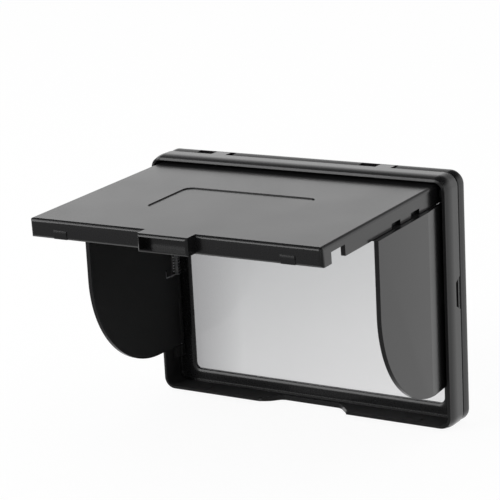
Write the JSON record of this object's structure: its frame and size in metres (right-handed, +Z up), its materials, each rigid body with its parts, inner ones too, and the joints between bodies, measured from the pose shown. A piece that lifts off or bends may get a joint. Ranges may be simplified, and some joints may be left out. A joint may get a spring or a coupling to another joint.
{
  "type": "camera screen sun hood",
  "caption": "Pop-up sun hood for a camera's rear screen: a shallow bonded frame with a clear panel, a sprung lid and sprung side flaps that fold flat over it.",
  "frame": {"origin": "centre of the bonded rear face", "axes": "+X to the viewer's right, +Y out of the rear face towards the camera, +Z up"},
  "size_m": [0.08, 0.0636, 0.0598],
  "materials": {
    "black_plastic": "fine moulded satin",
    "clear_panel": "clear and slightly hazy",
    "spring_steel": "drawn wire",
    "foam_tape": "matt foam"
  },
  "bodies": {
    "frame": {"front_frame": "black_plastic", "rear_frame": "black_plastic", "window": "clear_panel", "window_seal": "foam_tape", "bonding_tape": "foam_tape", "lid_pin_left": "spring_steel", "lid_pin_right": "spring_steel", "lid_spring_left": "spring_steel", "lid_spring_right": "spring_steel", "left_flap_pin": "spring_steel", "right_flap_pin": "spring_steel", "left_flap_spring": "spring_steel", "right_flap_spring": "spring_steel"},
    "lid": {"lid": "black_plastic"},
    "left_flap": {"left_flap": "black_plastic"},
    "right_flap": {"right_flap": "black_plastic"}
  },
  "joints": [
    {"name": "lid_hinge", "type": "hinge", "parent": "frame", "child": "lid", "pos_m": [0, -0.0066, 0.0258], "axis": [1, 0, 0], "range_deg": [0, 88], "stiffness_Nm_per_rad": 0.003, "springref_deg": -57.3, "deforming": ["lid_spring_left", "lid_spring_right"]},
    {"name": "left_flap_hinge", "type": "hinge", "parent": "frame", "child": "left_flap", "pos_m": [-0.03795, -0.00355, 0], "axis": [0, 0, 1], "range_deg": [0, 90], "stiffness_Nm_per_rad": 0.001, "springref_deg": -45.84, "deforming": ["left_flap_spring"]},
    {"name": "right_flap_hinge", "type": "hinge", "parent": "frame", "child": "right_flap", "pos_m": [0.03795, -0.00355, 0], "axis": [0, 0, -1], "range_deg": [0, 90], "stiffness_Nm_per_rad": 0.001, "springref_deg": -45.84, "deforming": ["right_flap_spring"]}
  ]
}
